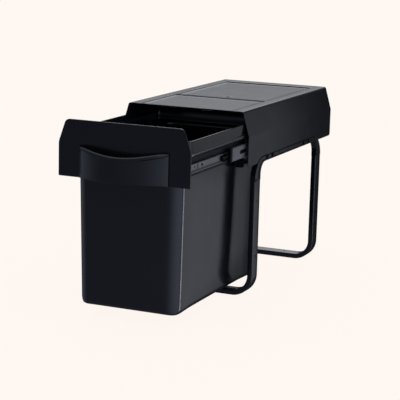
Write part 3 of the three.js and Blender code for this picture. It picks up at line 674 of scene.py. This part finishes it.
STRIP = 0.001
STRIP_BEND = 0.0014
RACE_DEPTH = 0.0005
SHADE_BEFORE = 0.004
SHADE_BEYOND = 0.03
SHADE_FADE = 0.002
OUTER_HOLES_Y = (0.040, 0.180, 0.330)
OUTER_HOLE_RADIUS = 0.0022
NOTCH_Y = 0.053
NOTCH_RISE = 0.0005
NOTCH_HALVES = (0.019, 0.0035)
MIDDLE_HOLE_Y = 0.340
MIDDLE_HOLE_RADIUS = 0.003
INNER_SMALL_HOLES_Y = (0.036, 0.157)
INNER_SMALL_RADIUS = 0.0019
INNER_LARGE_HOLES_Y = (0.066, 0.300)
INNER_LARGE_RADIUS = 0.0024
INNER_SLOT_Y = 0.048
INNER_SLOT_HALVES = (0.0016, 0.0045)
STOP_REACH = 0.0084
STOP_WEB = 0.0018
STOP_CORNER = 0.0005
STOP_EDGE = 0.0004
slide_low, slide_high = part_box("right_outer_slide")
slide_z = (slide_low.z + slide_high.z) / 2
lever_low, lever_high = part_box("right_release_lever")
# Painted shade: the inner member's colour is darkened round the release lever, from 4 mm before it to 30 mm
# past it.
shade_span_y = (lever_low.y - SHADE_BEFORE, lever_high.y + SHADE_BEYOND)
slide_steel_with_painted_shade = painted_shade_band("slide_steel_painted_shade", slide_steel, *shade_span_y, SHADE_FADE)


def member_outline(web_x, tip_x, height):
    """A C of strip in x and z: web, two rounded bends and two flanges, each with a shallow groove for the
    balls, which is one wave of a cosine deep RACE_DEPTH towards the slide's middle line."""
    way = 1 if tip_x > web_x else -1
    t = np.linspace(0, 1, 9)
    span = abs(tip_x - web_x) - STRIP_BEND - 0.0003
    groove = RACE_DEPTH * (1 - np.cos(2 * np.pi * t)) / 2
    x = web_x + way * (STRIP_BEND + span * t)
    outer_flange = np.stack([x, height / 2 - groove], axis=1)
    inner_flange = np.stack([x[::-1], height / 2 - STRIP - groove[::-1]], axis=1)
    a = np.linspace(np.pi, np.pi / 2, 6)[:-1]
    bend = np.array([web_x + way * STRIP_BEND, height / 2 - STRIP_BEND])
    outer_bend = bend + STRIP_BEND * np.stack([way * np.cos(a), np.sin(a)], axis=1)
    inner_bend = bend + (STRIP_BEND - STRIP) * np.stack([way * np.cos(a[::-1]), np.sin(a[::-1])], axis=1)
    upper = np.concatenate([outer_bend, outer_flange, inner_flange, inner_bend])
    lower = upper[::-1] * [1, -1]
    return np.concatenate([upper, lower]) + [0, slide_z]


def slot_cutter(centre, half_y, half_z):
    """A cutter through the web: a rounded rectangle in y and z, carried along x."""
    corners = [(-half_y, -half_z), (half_y, -half_z), (half_y, half_z), (-half_y, half_z)]
    outline = rounded(corners, min(half_y, half_z) * 0.6) + [centre[1], centre[2]]
    return carried(outline, "x", centre[0] - 0.003, centre[0] + 0.003)


for side, sign in (("right", 1), ("left", -1)):
    outer_low, outer_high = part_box(side + "_outer_slide")
    outer_x = (outer_high.x, outer_low.x) if sign > 0 else (outer_low.x, outer_high.x)
    outline = member_outline(*outer_x, outer_high.z - outer_low.z)
    outer = make(side + "_outer_member", carried(outline, "y", outer_low.y, outer_high.y), crease=50)
    places = [(outer_x[0], outer_low.y + y, slide_z) for y in OUTER_HOLES_Y]
    holes = [bore("x", OUTER_HOLE_RADIUS, SHEET_BORE, place) for place in places]
    fit(pierced(outer, holes, 50), slide_steel, "frame", "slide_steel", side + "_outer_slide")

    middle_low, middle_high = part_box(side + "_middle_slide")
    middle_x = (middle_high.x, middle_low.x) if sign > 0 else (middle_low.x, middle_high.x)
    outline = member_outline(*middle_x, middle_high.z - middle_low.z)
    middle = make(side + "_middle_member", carried(outline, "y", middle_low.y, middle_high.y), crease=50)
    notch = slot_cutter((middle_x[0], middle_low.y + NOTCH_Y, slide_z + NOTCH_RISE), *NOTCH_HALVES)
    place = (middle_x[0], middle_low.y + MIDDLE_HOLE_Y, slide_z)
    rear_hole = bore("x", MIDDLE_HOLE_RADIUS, SHEET_BORE, place)
    middle = pierced(middle, [notch, rear_hole], 50)
    fit(middle, slide_steel, side + "_middle", "slide_steel", side + "_middle_slide")

    inner_low, inner_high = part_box(side + "_inner_slide")
    inner_x = (inner_low.x, inner_high.x) if sign > 0 else (inner_high.x, inner_low.x)
    outline = member_outline(*inner_x, inner_high.z - inner_low.z)
    inner = make(side + "_inner_member", carried(outline, "y", inner_low.y, inner_high.y), crease=50)
    small = [(inner_x[0], inner_low.y + y, slide_z) for y in INNER_SMALL_HOLES_Y]
    large = [(inner_x[0], inner_low.y + y, slide_z) for y in INNER_LARGE_HOLES_Y]
    cutters = [bore("x", INNER_SMALL_RADIUS, SHEET_BORE, place) for place in small]
    cutters += [bore("x", INNER_LARGE_RADIUS, SHEET_BORE, place) for place in large]
    cutters.append(slot_cutter((inner_x[0], inner_low.y + INNER_SLOT_Y, slide_z), *INNER_SLOT_HALVES))
    fit(pierced(inner, cutters, 50), slide_steel_with_painted_shade, "drawer", "slide_steel", side + "_inner_slide")

    stop_low, stop_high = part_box(side + "_middle_stop")
    web = stop_high.x if sign > 0 else stop_low.x
    tip = stop_low.x if sign > 0 else stop_high.x
    half = (stop_high.z - stop_low.z) / 2
    corners = [(web, -half), (tip, -half), (tip, -STOP_REACH), (web - sign * STOP_WEB, -STOP_REACH)]
    corners += [(x, -z) for x, z in corners[::-1]]
    outline = rounded(corners, STOP_CORNER, 4) + [0, slide_z]
    stop = make(side + "_end_stop", carried(outline, "y", stop_low.y, stop_high.y, STOP_EDGE), crease=50)
    fit(stop, black_plastic, side + "_middle", "black_plastic", side + "_middle_stop")
    coat(ball_steel, [side + "_outer_ball_cage", side + "_inner_ball_cage"])

# ---- release levers ----
# A sprung black tongue lies in the channel of each inner member and turns on a small pin at its back end.
# Pressing it lets the drawer come off the slides.
LEVER_EDGE = 0.0007
LEVER_EYE = 0.0043
PIN_BORE = 0.0015
PIN_BORE_LONG = 0.012
PIN_HEAD = 0.0021
PIN_HEAD_THICK = 0.0004
for side, sign in (("right", 1), ("left", -1)):
    low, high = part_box(side + "_release_lever")
    pin_low, pin_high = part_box(side + "_lever_pin")
    pin_y = (pin_low.y + pin_high.y) / 2
    outline = np.concatenate([
        [(low.y, -0.0042), (low.y + 0.008, -0.0044), (pin_y - 0.005, -0.0026)],
        arc((pin_y, 0), (LEVER_EYE, LEVER_EYE), -150, 150, 20),
        [(pin_y - 0.006, 0.0022), (low.y + 0.009, 0.0006), (low.y, 0.0028)],
    ]) + [0, slide_z]
    tongue = make(side + "_lever_tongue", carried(outline, "x", low.x, high.x, LEVER_EDGE), crease=50)
    hole = bore("x", PIN_BORE, PIN_BORE_LONG, ((low.x + high.x) / 2, pin_y, slide_z))
    tongue = pierced(tongue, [hole], 50)
    fit(tongue, black_plastic, side + "_lever", "black_plastic", side + "_release_lever")
    pin_face = pin_high.x if sign > 0 else pin_low.x
    rivet = screw_head(pin_face, sign, pin_y, slide_z, PIN_HEAD, PIN_HEAD_THICK)
    pin = make(side + "_lever_rivet", rivet, crease=40)
    fit(pin, screw_steel, "drawer", "screw_steel", side + "_lever_pin")

# ---- carrier ----
# Two painted channels, a front sheet and a rear channel make the open frame that the bucket hangs in. The
# channels are screwed to the inner members and the front sheet to the front plate.
CARRIER_SHEET = 0.0014
CARRIER_CORNER = 0.00055
FOOT_SHORT = 0.002
CHANNEL_HOLE_RADIUS = 0.0024
CHANNEL_SLOT_HALVES = (0.002, 0.005)
carrier_paint = surface_finish(
    "dull_carrier_paint",
    dark=(0.0045, 0.005, 0.0066),
    light=(0.0065, 0.0074, 0.0094),
    rough=(0.42, 0.5),
    grain=0.0016,
    bump=0.000012,
    gloss=0.22,
    # The pale edge colour is mostly a painted highlight along the channels' edges, with some rubbed paint.
    edge_wear_and_glint=(0.09, 0.092, 0.098),
)
for side, sign in (("right", 1), ("left", -1)):
    low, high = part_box(side + "_carrier_rail")
    web, tip = (high.x, low.x) if sign > 0 else (low.x, high.x)
    t = sign * CARRIER_SHEET
    corners = [(web, low.z), (web, high.z), (tip, high.z), (tip, high.z - CARRIER_SHEET)]
    corners += [(web - t, high.z - CARRIER_SHEET), (web - t, low.z + CARRIER_SHEET)]
    foot = tip + sign * FOOT_SHORT
    corners += [(foot, low.z + CARRIER_SHEET), (foot, low.z)]
    outline = rounded(corners, CARRIER_CORNER, 5)
    channel = make(side + "_carrier_channel", carried(outline, "y", low.y, high.y), crease=50)
    inner_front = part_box(side + "_inner_slide")[0].y
    hole_y, slot_y = inner_front + INNER_SMALL_HOLES_Y[0], inner_front + INNER_SLOT_Y
    cutters = [bore("x", CHANNEL_HOLE_RADIUS, SHEET_BORE, (web, hole_y, slide_z))]
    cutters.append(slot_cutter((web, slot_y, slide_z), *CHANNEL_SLOT_HALVES))
    channel = pierced(channel, cutters, 50)
    fit(channel, carrier_paint, "drawer", "black_paint", side + "_carrier_rail")
coat(carrier_paint, ["carrier_front", "carrier_back"])
coat(screw_steel, [f"{side}_slide_screw_{i}" for side in ("left", "right") for i in (1, 2)])
coat(screw_steel, [f"plate_screw_{i}" for i in (1, 2, 3, 4)])

# ---- front plate ----
# A flat painted steel plate with the same outline as the hood, its edges broken so that they catch the
# light.
PLATE_FOLD_Z = 0.3044
PLATE_TOP_HALF = 0.1082
PLATE_EDGE = 0.0007
PLATE_CORNERS = (0.0022, 0.004, 0.0075)
low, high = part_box("front_plate")
corners = [(high.x, low.z), (high.x, PLATE_FOLD_Z), (PLATE_TOP_HALF, high.z)]
corners += [(-x, z) for x, z in corners[::-1]]
outline = rounded(corners, PLATE_CORNERS + PLATE_CORNERS[::-1], 12)
plate = make("front_panel", carried(outline, "y", low.y, high.y, PLATE_EDGE), crease=50)
fit(plate, black_paint, "drawer", "black_paint", "front_plate")

# ---- handle ----
# A moulded black shell, bowed in plan, with a rolled lip that dips in the middle and a deep pocket behind
# it for the fingers. Two screws hold it from inside the front plate.
HANDLE_HALF = 0.0828
HANDLE_DEEP = 0.027
HANDLE_TOP = 0.302
HANDLE_DIP = 0.011
HANDLE_WALL = 0.003
POCKET_HALF = 0.058
LIP_RADIUS = 0.0034
LIP_OUT = 0.0224
HANDLE_BOW = 0.8
DIP_POWER = 1.2
BEAD_DROP = 0.0028
FOOT_RADIUS = 0.003
WALL_BULGE = 0.0006
WELL_CORNER = 0.006
handle_low, handle_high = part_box("handle")
handle_plastic = surface_finish(
    "satin_handle_plastic",
    dark=(0.005, 0.0054, 0.0068),
    light=(0.0068, 0.0074, 0.0092),
    rough=(0.22, 0.26),
    grain=0.0013,
    bump=0.000005,
    gloss=0.56,
)


def handle_skin():
    """At each x the bow stands deep (1 - (x/half)^2)^bow in front of the plate, and the top edge is at
    top - dip cos(a)^1.2, a going from -90 to 90 degrees. A ring in y and z runs from the plate along the
    bottom, up the outer wall, round the lip's circle, down the inner wall and along the pocket's floor,
    which rises to the lip beyond the pocket's ends."""
    a = np.linspace(0.0, np.pi, 91)
    x = np.unique(np.round(np.concatenate([
        -HANDLE_HALF * np.cos(a),
        POCKET_HALF + np.linspace(-0.002, 0.002, 9),
        -POCKET_HALF + np.linspace(-0.002, 0.002, 9),
    ]), 6))
    bow = np.clip(1 - (x / HANDLE_HALF) ** 2, 0, 1) ** HANDLE_BOW
    deep = np.maximum(HANDLE_DEEP * bow, 0.0008)[:, None]
    lip = HANDLE_TOP - HANDLE_DIP * np.cos(x / HANDLE_HALF * np.pi / 2).clip(0, 1) ** DIP_POWER
    roll = (LIP_RADIUS * np.clip(bow / 0.35, 0.12, 1) ** 0.5)[:, None]
    bead_d = roll + LIP_OUT * bow[:, None]
    bead_z = (lip - BEAD_DROP)[:, None]
    filled = eased((np.abs(x) - POCKET_HALF + 0.001) / 0.002)[:, None]
    floor = (handle_low.z + HANDLE_WALL) * (1 - filled) + (bead_z - 0.0006) * filled
    inner = np.maximum(deep - HANDLE_WALL, 0.0004)
    turn = np.radians(np.linspace(-62, 216, 20))[None, :]
    foot = np.radians(np.linspace(-90, 0, 6))[None, :]
    foot_r = np.minimum(FOOT_RADIUS, deep * 0.4)
    low_z = handle_low.z
    wall_top = bead_z - LIP_RADIUS * 1.25
    rise = np.linspace(0, 1, 6)[None, 1:]
    bulge = WALL_BULGE * np.sin(np.pi * rise) * np.clip(bow[:, None] * 2 - 0.4, 0, 1)
    d = [0 * deep, (deep - foot_r) * 0.5, deep - foot_r + foot_r * np.cos(foot), deep + bulge]
    z = [0 * deep + low_z, 0 * deep + low_z, low_z + foot_r * (1 + np.sin(foot))]
    z.append(low_z + foot_r + (wall_top - low_z - foot_r) * rise)
    d.append(bead_d + roll * np.cos(turn))
    z.append(bead_z + roll * np.sin(turn))
    down = np.linspace(0, 1, 7)[None, 1:]
    well = np.maximum(bead_z - roll - floor, 0.0001)
    corner = np.minimum(WELL_CORNER, np.minimum(inner * 0.5, well * 0.5))
    d.append(inner + 0 * down)
    z.append(floor + corner + (well - corner) * (1 - down))
    d += [inner - corner * 0.3, inner - corner, inner * 0.4, 0 * deep]
    z += [floor + corner * 0.3, floor, floor, floor]
    d, z = np.concatenate(d, axis=1), np.concatenate(z, axis=1)
    y = handle_high.y - np.clip(d, 0, handle_high.y - handle_low.y)
    return skin(np.stack([np.broadcast_to(x[:, None], y.shape), y, z], axis=-1))


fit(make("handle_shell", handle_skin(), crease=45), handle_plastic, "drawer", "handle_plastic", "handle")
coat(screw_steel, ["handle_screw_1", "handle_screw_2"])

# ---- bucket ----
# A lift-out bucket moulded in black plastic, with rounded corners, walls that taper to a footed floor and
# a stepped collar that spreads over the slides and hangs on the carrier.
BUCKET_CORNER = 0.024
BUCKET_TAPER = 0.005
COLLAR_Z = 0.295
BUCKET_HALF = 0.098
BUCKET_WALL = 0.0026
COLLAR_REACH = 0.007
COLLAR_CORNER = 0.012
FOOT_LIFT = 0.002
FOOT_HEIGHT = 0.02
INNER_FLOOR = 0.0078
bucket_low, bucket_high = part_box("bucket")
bucket_plastic = surface_finish(
    "grained_bucket_plastic",
    dark=(0.005, 0.0054, 0.0068),
    light=(0.0068, 0.0074, 0.0092),
    rough=(0.17, 0.2),
    grain=0.0011,
    bump=0.000003,
    gloss=0.62,
)


def bucket_rows():
    """Rows of half width, front y, back y, corner radius and height. The wall draws in by the taper from
    under the collar to the floor, and the collar's rows step in and out round it."""
    front, back = bucket_low.y + COLLAR_REACH, bucket_high.y - COLLAR_REACH
    base, top = bucket_low.z, bucket_high.z

    def wall(inset, z):
        lean = BUCKET_TAPER * (COLLAR_Z - z) / (COLLAR_Z - base)
        draw = inset + lean * 0.8
        return (BUCKET_HALF - inset - lean, front + draw, back - draw, BUCKET_CORNER - inset, z)

    def collar(inset, z):
        return (bucket_high.x - inset, bucket_low.y + inset, bucket_high.y - inset, COLLAR_CORNER - inset, z)

    outside = [
        wall(0.011, base), wall(0.006, base + 0.0006), wall(0.0025, base + 0.003),
        wall(0.0008, base + 0.007),
        wall(0, base + 0.012), wall(0, 0.09), wall(0, 0.16), wall(0, 0.23), wall(0, 0.285),
        wall(0, COLLAR_Z - 0.0008), wall(-0.0008, COLLAR_Z),
        collar(0.004, COLLAR_Z), collar(0.0022, COLLAR_Z + 0.0004),
        collar(0.0008, COLLAR_Z + 0.002), collar(0.0002, COLLAR_Z + 0.0045), collar(0, COLLAR_Z + 0.006),
        collar(0, COLLAR_Z + 0.0078), collar(0.0006, COLLAR_Z + 0.0088), collar(0.0022, COLLAR_Z + 0.0096),
        collar(0.0028, COLLAR_Z + 0.011), collar(0.0034, top - 0.0028), collar(0.0036, top - 0.0014),
        collar(0.0042, top - 0.0003), collar(0.0050, top),
    ]
    inside = [
        collar(0.0058, top - 0.0002), collar(0.0064, top - 0.0012), collar(0.0062, COLLAR_Z + 0.009),
        collar(0.0068, COLLAR_Z + 0.0048), collar(0.0086, COLLAR_Z + 0.0034), wall(0.001, COLLAR_Z + 0.0026),
        wall(0.0022, COLLAR_Z + 0.001), wall(BUCKET_WALL, COLLAR_Z - 0.004), wall(BUCKET_WALL, 0.16),
        wall(BUCKET_WALL, base + 0.012), wall(BUCKET_WALL + 0.003, base + 0.006),
        wall(BUCKET_WALL + 0.012, base + 0.0042),
    ]
    return np.array(outside), np.array(inside)


def bucket_rings(rows, steps=14):
    """Each row as a ring: four quarter circles of the corner radius about centres one radius in from the
    sides, with seven points spaced along every straight side between them."""
    half, front, back, radius, z = (rows[:, i, None] for i in range(5))
    a = np.linspace(0, np.pi / 2, steps)[None, :]
    parts = []
    for turn, (sx, sy) in enumerate(((1, 1), (-1, 1), (-1, -1), (1, -1))):
        angle = a + turn * np.pi / 2
        centre_y = back - radius if sy > 0 else front + radius
        across = sx * (half - radius) + radius * np.cos(angle)
        parts.append(np.stack([across, centre_y + radius * np.sin(angle)], axis=-1))
    share = np.linspace(0, 1, 9)[None, 1:-1, None]
    ring = []
    for part, following in zip(parts, parts[1:] + parts[:1]):
        ring += [part, part[:, -1:] * (1 - share) + following[:, :1] * share]
    flat = np.concatenate(ring, axis=1)
    return np.concatenate([flat, np.broadcast_to(z[:, :, None], (*flat.shape[:2], 1))], axis=2)


def bucket_skin():
    """Outside rings from the floor up, inside rings back down, and the floors drawn in towards the
    middle. The floor's edge is lifted in the middle of each side, which leaves a foot at every corner."""
    outside, inside = (bucket_rings(rows) for rows in bucket_rows())
    centre = np.array([0.0, (bucket_low.y + bucket_high.y) / 2])

    def towards_middle(ring, shares, z):
        inner = centre + (ring[None, :, :2] - centre) * np.array(shares)[:, None, None]
        return np.concatenate([inner, np.full((len(shares), ring.shape[0], 1), z)], axis=2)

    under = towards_middle(outside[0], (0.05, 0.5, 0.9), bucket_low.z + FOOT_LIFT)
    within = towards_middle(inside[-1], (0.9, 0.5, 0.05), bucket_low.z + INNER_FLOOR)
    x, y = outside[..., 0], outside[..., 1] - centre[1]
    half_x, half_y = np.abs(x).max(), np.abs(y).max()
    along = np.where(np.abs(y) / half_y > np.abs(x) / half_x, np.abs(x) / half_x, np.abs(y) / half_y)
    near_floor = np.clip(1 - (outside[..., 2] - bucket_low.z) / FOOT_HEIGHT, 0, 1)
    outside[..., 2] += FOOT_LIFT * near_floor * eased((0.78 - along) / 0.22)
    return skin(np.concatenate([under, outside, inside, within]))


fit(make("bucket_shell", bucket_skin(), crease=40), bucket_plastic, "bucket", "bucket_plastic", "bucket")

# ---- floor and light ----
# A pale floor without an edge in view and a soft surround for the black surfaces to reflect: bright above
# and behind on the left, dim in front except at both sides. Three cards stacked at the back right, bright
# below and dim above, and a narrow upright strip beside them light the right side.
FLOOR_COLOUR = (0.982, 0.922, 0.871)
FLOOR_OWN_LIGHT = 0.985
FLOOR_PALENESS = 0.05
FLOOR_HALF = 30
FLOOR_Z = -0.0004
SKY_RISE = (0.08, 0.24)
OVERHEAD_RISE = (0.45, 0.85)
BEHIND_RISE = (0.25, 0.75)
SKY_LOW = (0.03, 0.032, 0.04)
OVERHEAD = (0.80, 0.82, 0.88)
FRONT_TINT = (0.80, 0.87, 1.16)
BEHIND_TINT = (0.97, 0.99, 1.04)
FRONT_LEVELS = (
    (0.0, 0.38), (0.05, 0.26), (0.11, 0.15), (0.30, 0.17), (0.42, 0.20),
    (0.55, 0.23), (0.68, 0.36), (0.85, 0.58), (1.0, 0.82),
)
BEHIND_LEVELS = ((0.0, 1.12), (0.36, 1.2), (0.46, 0.45), (0.60, 0.12), (0.80, 0.10), (1.0, 0.3))
LAMP_COLOUR = (0.93, 0.95, 1.06)
CARD_AIM = (0.5, -0.6)
STRIP_AIM = (0.1, -0.24)
floor_mesh = bpy.data.meshes.new("floor")
ends = ((-1, -1), (1, -1), (1, 1), (-1, 1))
corners = [(x * FLOOR_HALF, y * FLOOR_HALF, FLOOR_Z) for x, y in ends]
floor_mesh.from_pydata(corners, [], [(0, 1, 2, 3)])
floor = bpy.data.objects.new("floor", floor_mesh)
bpy.context.collection.objects.link(floor)
floor_finish = bpy.data.materials.new("pale_floor")
floor_finish.use_nodes = True
floor_shader = floor_finish.node_tree.nodes["Principled BSDF"]
floor_shader.inputs["Base Color"].default_value = (*[c * FLOOR_PALENESS for c in FLOOR_COLOUR], 1)
floor_shader.inputs["Roughness"].default_value = 1.0
floor_shader.inputs["Specular IOR Level"].default_value = 0.0
floor_shader.inputs["Emission Color"].default_value = (*FLOOR_COLOUR, 1)
floor_shader.inputs["Emission Strength"].default_value = FLOOR_OWN_LIGHT
floor_mesh.materials.append(floor_finish)
floor.visible_glossy = False
floor.visible_diffuse = False
floor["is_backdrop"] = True

surround = bpy.data.worlds.new("surround")
surround.use_nodes = True
nodes, links = surround.node_tree.nodes, surround.node_tree.links
way = nodes.new("ShaderNodeTexCoord")
parts = nodes.new("ShaderNodeSeparateXYZ")
links.new(way.outputs["Generated"], parts.inputs["Vector"])


def stepped(source, low, high):
    """A node that rises smoothly from 0 to 1 while the source goes from low to high."""
    step = nodes.new("ShaderNodeMapRange")
    step.interpolation_type = "SMOOTHSTEP"
    step.inputs["From Min"].default_value = low
    step.inputs["From Max"].default_value = high
    links.new(source, step.inputs["Value"])
    return step.outputs["Result"]


def levels_across(levels, tint):
    """Brightness against the direction's x, from -1 at place 0 to 1 at place 1, in one tint."""
    across = nodes.new("ShaderNodeMapRange")
    across.inputs["From Min"].default_value = -1.0
    links.new(parts.outputs["X"], across.inputs["Value"])
    ramp = nodes.new("ShaderNodeValToRGB")
    while len(ramp.color_ramp.elements) < len(levels):
        ramp.color_ramp.elements.new(0.5)
    for stop, (place, value) in zip(ramp.color_ramp.elements, levels):
        stop.position = place
        stop.color = (*[value * c for c in tint], 1)
    links.new(across.outputs["Result"], ramp.inputs["Fac"])
    return ramp.outputs["Color"]


def mixed(share, first, second):
    """A colour that goes from the first to the second with the share."""
    mix = nodes.new("ShaderNodeMix")
    mix.data_type = "RGBA"
    links.new(share, mix.inputs[0])
    for socket, colour in ((mix.inputs[6], first), (mix.inputs[7], second)):
        if isinstance(colour, tuple):
            socket.default_value = (*colour, 1)
        else:
            links.new(colour, socket)
    return mix.outputs[2]


sky = mixed(stepped(parts.outputs["Z"], *SKY_RISE), SKY_LOW, levels_across(BEHIND_LEVELS, BEHIND_TINT))
front = levels_across(FRONT_LEVELS, FRONT_TINT)
front = mixed(stepped(parts.outputs["Z"], *OVERHEAD_RISE), front, OVERHEAD)
around = mixed(stepped(parts.outputs["Y"], *BEHIND_RISE), front, sky)
links.new(around, nodes["Background"].inputs["Color"])
bpy.context.scene.world = surround


def soft_light(name, place, aim, size, power):
    """A flat light of a width and a height in metres, at a place, turned level to face a point in x and
    y."""
    lamp = bpy.data.lights.new(name, "AREA")
    lamp.shape = "RECTANGLE"
    lamp.size, lamp.size_y = size
    lamp.energy = power
    lamp.color = LAMP_COLOUR
    light = bpy.data.objects.new(name, lamp)
    bpy.context.collection.objects.link(light)
    turn = math.atan2(aim[0] - place[0], place[1] - aim[1])
    light.location = place
    light.rotation_euler = (math.pi / 2, 0, turn + math.pi)
    light.visible_camera = False


soft_light("low_card", (0.89, 0.75, -0.285), CARD_AIM, (0.95, 0.63), 0.78)
soft_light("middle_card", (0.872, 0.76, 0.13), CARD_AIM, (0.99, 0.20), 0.155)
soft_light("high_card", (0.872, 0.76, 0.36), CARD_AIM, (0.99, 0.26), 0.18)
soft_light("side_strip", (1.07, 0.68, -0.415), STRIP_AIM, (0.19, 0.77), 2.0)

bpy.context.scene.view_settings.view_transform = "Standard"
low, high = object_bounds()
